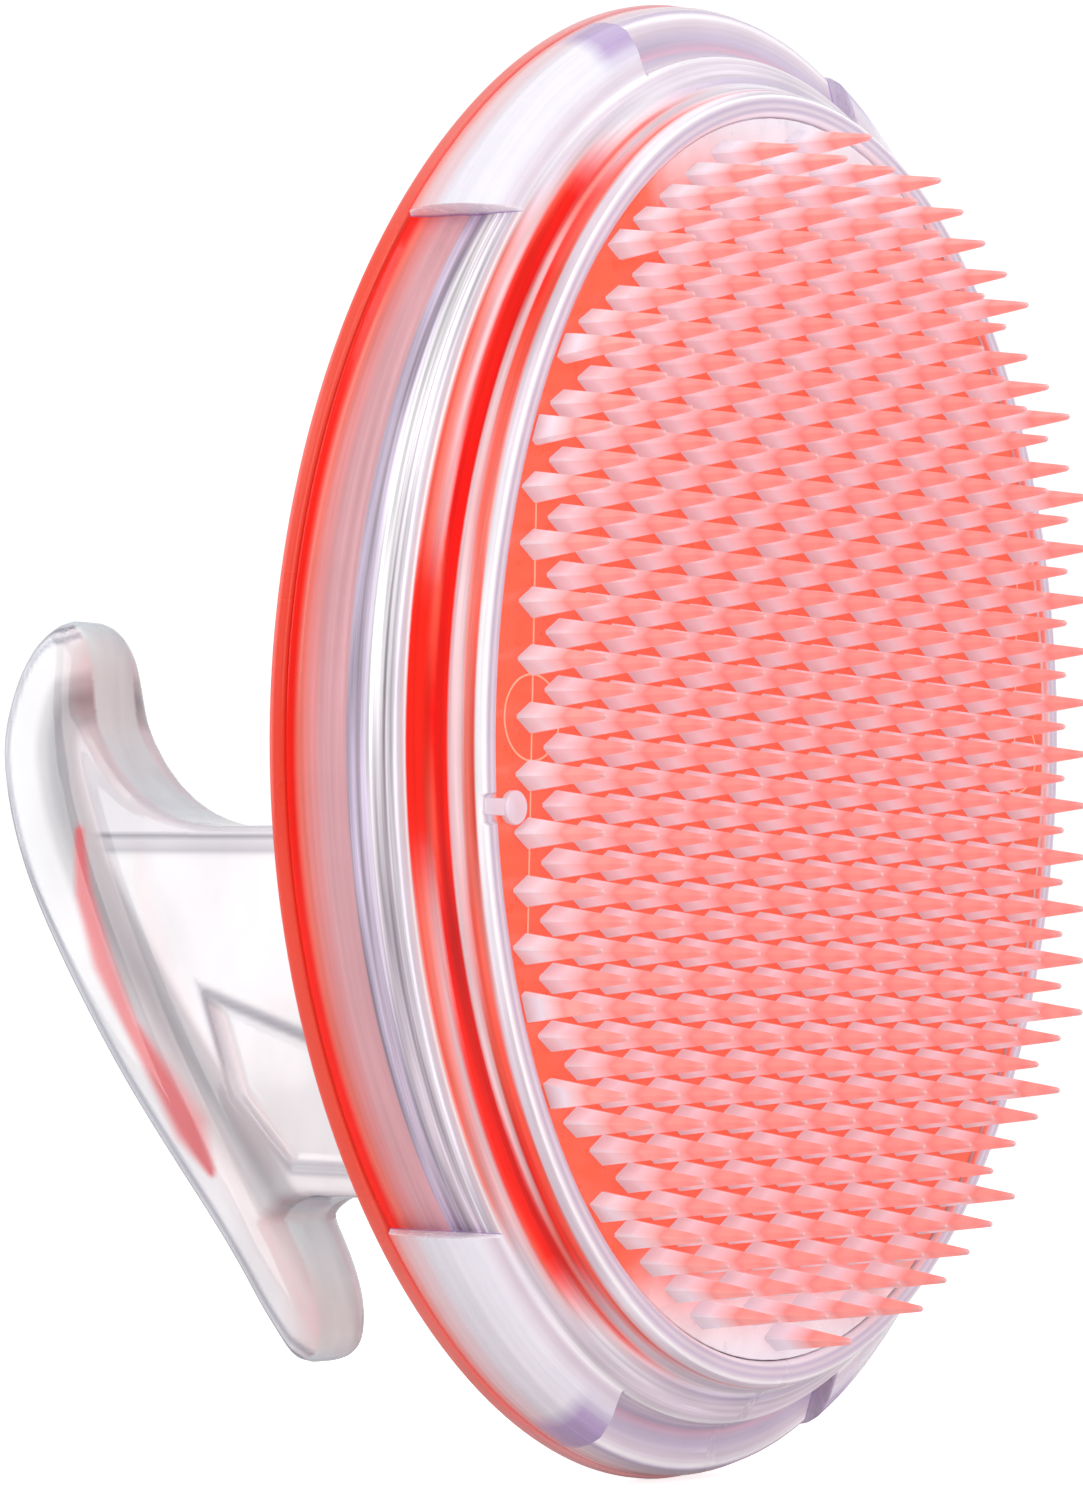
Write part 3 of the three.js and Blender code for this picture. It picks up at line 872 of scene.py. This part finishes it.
def locating_tab():
    """The bar across the lip and the round peg at its inner end, one moulding."""
    low, high = TAB_HEIGHT - TAB_HALF_WIDTH, TAB_HEIGHT + TAB_HALF_WIDTH
    bar = [(TAB_OUTER_END, low), (PEG_X, low), (PEG_X, high), (TAB_OUTER_END, high)]
    tab = outline_body("locating_tab", bar, TAB_FRONT, TAB_BACK, 0.12)
    peg = outline_body("peg", circle(PEG_X, TAB_HEIGHT, PEG_RADIUS, 10), PEG_FRONT, TAB_BACK, 0.15)
    join(tab, [peg])
    paint(tab.data, [FROST_WHITE] * len(tab.data.vertices))
    return tab


# ---------------- coral pieces

CORAL_STEP = 1.5
CORAL_SHARP = 50


def turned(name, profile, radius, colour_of, extras=()):
    """An oval body from a closed profile, with soft corners, and extra bodies that belong to it."""
    degrees = [k * CORAL_STEP for k in range(round(360 / CORAL_STEP))]
    piece = make_object(name, ring_mesh(name, [rounded(profile, radius)] * len(degrees), degrees))
    join(piece, extras)
    piece.data.set_sharp_from_angle(angle=math.radians(CORAL_SHARP))
    paint_by_station(piece.data, colour_of)
    return piece


def colour_insert():
    """The thin tray behind the plate: a flat floor, a slope and an upright wall."""
    return turned("colour_insert_tray", [
        (INNERMOST, 2.9, 0), (1.3, 2.9, 0), (3.4, 5, 0), (3.4, 7.4, 0), (2.2, 7.4, 0), (2.2, 5.5, 0),
        (0.7, 4.2, 0), (INNERMOST, 4.2, 0)], 0.3, lambda offset, depth, degrees: CORAL)


COVER_RED = srgb(238, 62, 40)
EDGE_LOOK = [(0, COVER_RED), (0.55, srgb(240, 78, 58)), (0.85, srgb(234, 122, 112)), (1, srgb(226, 168, 170))]
PAD_FRONT = 18


def cover_colour(offset, depth, degrees):
    """Coral, paler at the top and bottom of the edge, where light comes through it."""
    height = abs(math.cos(math.radians(degrees)))
    return mix(COVER_RED, ramp(EDGE_LOOK, height), smoothstep(4.6, 5.8, offset))


def back_cover():
    """The domed shell with the flat pad that the handle's foot stands on."""
    pad = outline_body("pad", foot_outline(), PAD_FRONT, PAD_BACK, 0.4)
    outside = [(INNERMOST, 19.4, 0), (-18, 19, 0), (-6, 18.2, 1), (3, 17, 2.8), (5.2, 16.3, 3.3),
               (6.05, 15.5, 3.6), (6.05, COVER_EDGE, 3.6)]
    wall = [(3.3, COVER_EDGE, 1.6), (3.3, 9, 0.6), (2.1, 9, 0.6), (2.1, 14.6, 1.6)]
    inside = [(-6, 16, 1), (-18, 16.9, 0), (INNERMOST, 17.3, 0)]
    return turned("back_cover_shell", outside + wall + inside, 0.35, cover_colour, [pad])


# ---------------- handle

def flowing(points, parts):
    """A closed smooth curve through points (a Catmull-Rom spline)."""
    curve = []
    for i, start in enumerate(points):
        before, end = Vector(points[i - 1]), Vector(points[(i + 1) % len(points)])
        after, start = Vector(points[(i + 2) % len(points)]), Vector(start)
        for k in range(parts):
            t = k / parts
            curve.append(0.5 * (2 * start + (end - before) * t
                                + (2 * before - 5 * start + 4 * end - after) * t * t
                                + (3 * start - before - 3 * end + after) * t ** 3))
    return curve


def arc_through(start, control, end, parts=8):
    """A quadratic curve, without its end point."""
    start, control, end = Vector(start), Vector(control), Vector(end)
    shares = [k / parts for k in range(parts)]
    return [start.lerp(control, t).lerp(control.lerp(end, t), t) for t in shares]


def side_body(name, outline, half_width, inset, across, taper=lambda z: 1):
    """A closed outline of (depth, height), given a width across X. Its long edges are rounded, by inset
    in the outline and by across along X, and taper(z) narrows it with height."""
    curve = bpy.data.curves.new(name, "CURVE")
    curve.dimensions = "2D"
    curve.fill_mode = "BOTH"
    curve.bevel_depth = inset
    curve.bevel_resolution = 8
    curve.offset = -inset
    curve.extrude = (half_width - across) * inset / across
    spline = curve.splines.new("POLY")
    spline.points.add(len(outline) - 1)
    for item, (depth, z) in zip(spline.points, outline):
        item.co = (depth, z, 0, 1)
    spline.use_cyclic_u = True
    drawn = bpy.data.objects.new(name, curve)
    mesh = bpy.data.meshes.new_from_object(drawn)
    bpy.data.objects.remove(drawn)
    for vertex in mesh.vertices:
        depth, z, side = vertex.co
        vertex.co = place(side * across / inset * taper(z), depth, z)
    return make_object(name, mesh)


# Outlines as (depth, height). The bar's starts with the points of its back edge
BAR_OUTLINE = [
    (71.8, 10.5), (74.9, 8.8), (76.9, 4.6), (77.4, -1), (75.2, -8.5), (70.9, -16.2), (63, -26.8),
    (52.1, -39.2), (47.4, -45.8), (44.9, -48.7), (42.6, -47.4), (43.5, -42.6), (48, -35.5), (56, -24),
    (62.6, -12.5), (66.4, -4), (68.4, 2.5), (69.4, 8)]
POCKET_OUTLINE = [(26, -28), (44, -22.7), (54, -19.5), (50.5, -28), (44.5, -33.4), (26, -33.4)]
FLOW_PARTS = 8
BACK_POINTS = 9

# How finely the bar, stem and foot are fused, and how much the result is smoothed
VOXEL = 0.4
SMOOTHING = 0.6
SMOOTHING_ROUNDS = 8
HANDLE_SHARP = 50

# Distances from the middle plane beyond which the bar and the stem show their flanks' look
BAR_FLANK = 2.4
STEM_FLANK = 3

# The coral body seen through the bar, as a streak along the middle of its flank: (depth, height, half width)
STREAK = [(67, -7, 0.5), (66.2, -12, 1.1), (63.8, -17.6, 1.3), (60.6, -22.6, 0.9), (57.1, -26.8, 1.3),
          (54.2, -30.6, 1.6), (51.6, -34, 0.5)]


def tip_taper(z):
    return 1 - TIP_NARROWING * ((z - BAR_MIDDLE) / BAR_HALF_LENGTH) ** 4


def stem_outline():
    front = PAD_BACK + GAP
    return [
        *arc_through((front, STEM_TOP + 1), (24, STEM_TOP), (29, STEM_TOP)),
        *arc_through((54, STEM_TOP), (64.5, STEM_TOP + 0.3), (69, 3)),
        (69, 3), (71.5, -6), (52, -38),
        *arc_through((47.8, -38.5), (45.5, STEM_BOTTOM), (42, STEM_BOTTOM)),
        *arc_through((29, STEM_BOTTOM), (24, STEM_BOTTOM), (front, STEM_BOTTOM - 1)),
        (front, STEM_BOTTOM - 1)]


def inside_distance(outline, depth, z):
    """How far inside an outline without hollows a point lies; negative outside."""
    middle = sum((Vector(p) for p in outline), Vector((0, 0))) / len(outline)
    nearest = math.inf
    for start, end in zip(outline, outline[1:] + outline[:1]):
        start, end = Vector(start), Vector(end)
        along = (end - start).normalized()
        normal = Vector((-along.y, along.x))
        if normal.dot(middle - start) < 0:
            normal.negate()
        nearest = min(nearest, normal.dot(Vector((depth, z)) - start))
    return nearest


def distances(path, places):
    """How far each (x, depth, z) lies from a path of (depth, z) points, seen along X."""
    points = np.array([spot[1:] for spot in places])
    nearest = np.full(len(points), np.inf)
    for start, end in zip(path, path[1:]):
        start, along = np.array(start), np.array(end - start)
        t = np.clip((points - start) @ along / (along @ along), 0, 1)
        nearest = np.minimum(nearest, np.linalg.norm(points - start - t[:, None] * along, axis=1))
    return nearest


def press_pockets(mesh):
    """Sinks the shallow pocket into both flanks of the stem."""
    for vertex in mesh.vertices:
        x, depth, z = vertex.co.x / MM, vertex.co.y / MM - FACE_Y, vertex.co.z / MM - CENTRE_Z
        if abs(x) > 0.5 * STEM_HALF_WIDTH:
            sunk = POCKET_DEPTH * smoothstep(0, 0.9, inside_distance(POCKET_OUTLINE, depth, z))
            vertex.co.x -= math.copysign(sunk * MM, x)


def streak_share(x, depth, z):
    """How strongly the coral streak shows at a point of the handle."""
    if abs(x) < 2:
        return 0
    share = 0
    point = Vector((depth, z))
    for (d0, z0, w0), (d1, z1, w1) in zip(STREAK, STREAK[1:]):
        start, end = Vector((d0, z0)), Vector((d1, z1))
        along = end - start
        t = min(1, max(0, (point - start).dot(along) / along.length_squared))
        half = w0 + (w1 - w0) * t
        share = max(share, 1 - smoothstep(0.3 * half, 1.3 * half, (point - start - along * t).length))
    return share


CLEAR = srgb(240, 241, 243)
STREAK_RED = srgb(226, 100, 104)

# The handle near its middle plane, painted cooler to cancel the coral cover's glow on it
COOL_CLEAR = srgb(228, 246, 247)

# Grey lines of painted shade along the bar's flank, by distance from its back edge: bright inside,
# dusky towards the stem
BAR_LINES = [
    (0, srgb(172, 172, 180)), (0.5, srgb(230, 230, 234)), (0.9, srgb(140, 140, 152)),
    (1.3, srgb(240, 240, 243)), (1.9, srgb(176, 176, 186)), (2.4, CLEAR), (4.6, CLEAR),
    (5.8, srgb(204, 204, 207)), (7.2, srgb(170, 170, 174)), (8.6, srgb(190, 190, 194)),
    (9.6, srgb(222, 222, 225)), (11, CLEAR)]

# Grey lines of painted shade under the stem's upper edge, by distance from it
STEM_LINES = [
    (0, srgb(150, 150, 160)), (0.5, srgb(228, 228, 232)), (0.9, srgb(146, 146, 156)),
    (1.4, srgb(222, 222, 226)), (1.9, srgb(180, 180, 188)), (2.6, CLEAR)]
POCKET_LINE = srgb(150, 150, 160)


def stem_look(depth, z):
    """The stem's flank: grey lines of painted shade under its upper edge and one round the pocket."""
    pocket_line = 1 - smoothstep(0, 0.9, abs(inside_distance(POCKET_OUTLINE, depth, z)))
    return mix(ramp(STEM_LINES, max(0.5, STEM_TOP - z)), POCKET_LINE, 0.8 * pocket_line)


def handle_colour(x, depth, z, from_back):
    """from_back is the distance from the bar's back edge."""
    if abs(x) < BAR_FLANK:
        clear = COOL_CLEAR
    else:
        on_stem = smoothstep(8.6, 9.8, from_back) * smoothstep(BAR_FLANK, STEM_FLANK, abs(x))
        clear = mix(ramp(BAR_LINES, from_back), stem_look(depth, z), on_stem)
    return mix(clear, STREAK_RED, 0.9 * streak_share(x, depth, z))


def drill_screw_holes(piece):
    """Cuts the two screw holes into the handle's foot."""
    for z in (HANDLE_CENTRE + SCREW_SPACING / 2, HANDLE_CENTRE - SCREW_SPACING / 2):
        drill = outline_body("drill", circle(0, z, SCREW_HOLE_RADIUS, 15), PAD_BACK - 1, SCREW_HOLE_END, 0.1)
        cut = piece.modifiers.new("hole", "BOOLEAN")
        cut.operation = "DIFFERENCE"
        cut.solver = "EXACT"
        cut.object = drill
        apply_modifiers(piece)
        bpy.data.objects.remove(drill)


def foot_outline():
    w, h = FOOT_HALF_WIDTH - FOOT_CORNER, FOOT_HALF_HEIGHT - FOOT_CORNER
    corners = [(w, h, 0), (-w, h, 90), (-w, -h, 180), (w, -h, 270)]
    return [(x + FOOT_CORNER * math.cos(math.radians(start + a)),
             HANDLE_CENTRE + z + FOOT_CORNER * math.sin(math.radians(start + a)))
            for x, z, start in corners for a in range(0, 91, 15)]


def handle_bow():
    """The bar, the stem and the foot, blended into one moulding."""
    bar = flowing(BAR_OUTLINE, FLOW_PARTS)
    piece = side_body("handle_bow", bar, BAR_HALF_WIDTH, inset=2, across=3.8, taper=tip_taper)
    stem = side_body("stem", stem_outline(), STEM_HALF_WIDTH, inset=0.8, across=1)
    front = PAD_BACK + GAP
    foot = outline_body("foot", foot_outline(), front, front + FOOT_THICKNESS, 0.3)
    join(piece, [stem, foot])
    remesh = piece.modifiers.new("fused", "REMESH")
    remesh.mode = "VOXEL"
    remesh.voxel_size = VOXEL * MM
    smooth = piece.modifiers.new("soft", "SMOOTH")
    smooth.factor = SMOOTHING
    smooth.iterations = SMOOTHING_ROUNDS
    apply_modifiers(piece)
    press_pockets(piece.data)
    drill_screw_holes(piece)
    mesh = piece.data
    mesh.shade_smooth()
    mesh.set_sharp_from_angle(angle=math.radians(HANDLE_SHARP))
    places = [(v.co.x / MM, v.co.y / MM - FACE_Y, v.co.z / MM - CENTRE_Z) for v in mesh.vertices]
    from_back = distances(bar[:BACK_POINTS * FLOW_PARTS], places)
    paint(mesh, [handle_colour(*spot, distance) for spot, distance in zip(places, from_back)])
    return piece


# ---------------- assembly

def dress(piece, material, slot, *nodes):
    piece.data.materials.clear()
    piece.data.materials.append(material)
    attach(piece, "root")
    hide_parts(*nodes)


dress(outer_rim(), rim_material(), "clear_rim", "outer_rim")
bristle_plastic = bristle_material()
dress(bristles(), bristle_plastic, "clear_bristles", "bristle_plate")
dress(locating_tab(), bristle_plastic, "clear_bristles", "bristle_plate")
dress(face_marks(), bristle_plastic, "clear_bristles", "bristle_plate")
dress(face_plate(), face_material(), "clear_bristles", "bristle_plate")
dress(colour_insert(), coral_material("coral_insert_plastic"), "coral_insert", "colour_insert")
dress(back_cover(), coral_material("coral_cover_plastic"), "coral_cover", "back_cover")
dress(handle_bow(), handle_material(), "clear_handle", "handle")
steel = steel_material()
for name in ("handle_screw_upper", "handle_screw_lower"):
    screw = frame["nodes"][name]
    screw.data.materials.clear()
    screw.data.materials.append(steel)


# ---------------- floor, light and camera

# The camera, about the face's centre in millimetres
CAMERA_PLACE = (-300.16, -219.9, -16.59)
CAMERA_RIGHT = Vector((0.6289, -0.7772, 0.0192))
CAMERA_UP = Vector((-0.0447, -0.0115, 0.9989))
CAMERA_LENS = 121.66
CAMERA_SENSOR = 36


def camera():
    """Sets the camera and returns the direction that it looks in."""
    data = bpy.data.cameras.new("photo_camera")
    data.sensor_width = CAMERA_SENSOR
    data.sensor_fit = "AUTO"
    data.lens = CAMERA_LENS
    data.clip_start = 0.01
    piece = bpy.data.objects.new("photo_camera", data)
    right = CAMERA_RIGHT.normalized()
    back = right.cross(CAMERA_UP).normalized()
    up = back.cross(right)
    turn = Matrix((right, up, back)).transposed().to_4x4()
    piece.matrix_world = Matrix.Translation(place(*CAMERA_PLACE)) @ turn
    bpy.context.scene.collection.objects.link(piece)
    bpy.context.scene.camera = piece
    return -back


FLOOR_HALF_WIDTH = 3
FLOOR_GREY = (0.75, 0.75, 0.75)
FLOOR_LIFT = 0.7


def floor():
    """A pale floor. What the camera sees of it is lifted towards the white of the backdrop."""
    mesh = bpy.data.meshes.new("floor")
    half = FLOOR_HALF_WIDTH
    mesh.from_pydata([(-half, -half, 0), (half, -half, 0), (half, half, 0), (-half, half, 0)], [],
                     [(0, 1, 2, 3)])
    piece = make_object("floor", mesh)
    m = Nodes("pale_floor")
    m.tinted(m.plain(FLOOR_GREY), 0.01, 0.01)
    m.set(Roughness=0.9)
    path = m.add("ShaderNodeLightPath")
    m.shader.inputs["Emission Color"].default_value = (1, 1, 1, 1)
    m.link(m.times(path.outputs["Is Camera Ray"], FLOOR_LIFT), m.shader.inputs["Emission Strength"])
    piece.data.materials.append(m.material)


def softbox(name, place_mm, target_mm, width, height, watts):
    """A rectangular lamp, placed and aimed about the face's centre, in millimetres."""
    data = bpy.data.lights.new(name, "AREA")
    data.shape = "RECTANGLE"
    data.size = width * MM
    data.size_y = height * MM
    data.energy = watts
    piece = bpy.data.objects.new(name, data)
    start, end = place(*place_mm), place(*target_mm)
    piece.location = start
    piece.rotation_euler = (end - start).to_track_quat("-Z", "Y").to_euler()
    bpy.context.scene.collection.objects.link(piece)


# The studio's light, from the sides and behind the camera (0) to straight ahead of it (1)
STUDIO = [(0, (0.42, 0.42, 0.43)), (0.45, (0.5, 0.49, 0.53)), (0.9, (0.95, 0.95, 0.95))]
BACKDROP = (1.1, 1.1, 1.1, 1)


def world(view):
    """A white backdrop. As light it is greyer round about, so that clear edges show."""
    data = bpy.data.worlds.new("studio")
    data.use_nodes = True
    bpy.context.scene.world = data
    tree = data.node_tree
    background = tree.nodes["Background"]
    coordinates = tree.nodes.new("ShaderNodeTexCoord")
    facing = tree.nodes.new("ShaderNodeVectorMath")
    facing.operation = "DOT_PRODUCT"
    facing.inputs[1].default_value = view
    tree.links.new(coordinates.outputs["Generated"], facing.inputs[0])
    ramp_node = tree.nodes.new("ShaderNodeValToRGB")
    fill_ramp(ramp_node, STUDIO)
    tree.links.new(facing.outputs["Value"], ramp_node.inputs["Fac"])
    path = tree.nodes.new("ShaderNodeLightPath")
    choose = tree.nodes.new("ShaderNodeMix")
    choose.data_type = "RGBA"
    tree.links.new(path.outputs["Is Camera Ray"], choose.inputs["Factor"])
    tree.links.new(ramp_node.outputs["Color"], choose.inputs["A"])
    choose.inputs["B"].default_value = BACKDROP
    tree.links.new(choose.outputs["Result"], background.inputs["Color"])


view = camera()
floor()
world(view)
softbox("key_left", (-320, -60, 160), (0, 0, 0), 260, 300, 0.5)
softbox("front_fill", (60, -380, 60), (0, 0, 0), 300, 300, 0.95)
softbox("top", (0, 0, 330), (0, 0, 0), 300, 240, 0.3)
softbox("rear", (-140, 300, 80), (0, 30, 0), 240, 240, 0.35)
bpy.context.scene.view_settings.view_transform = "Standard"
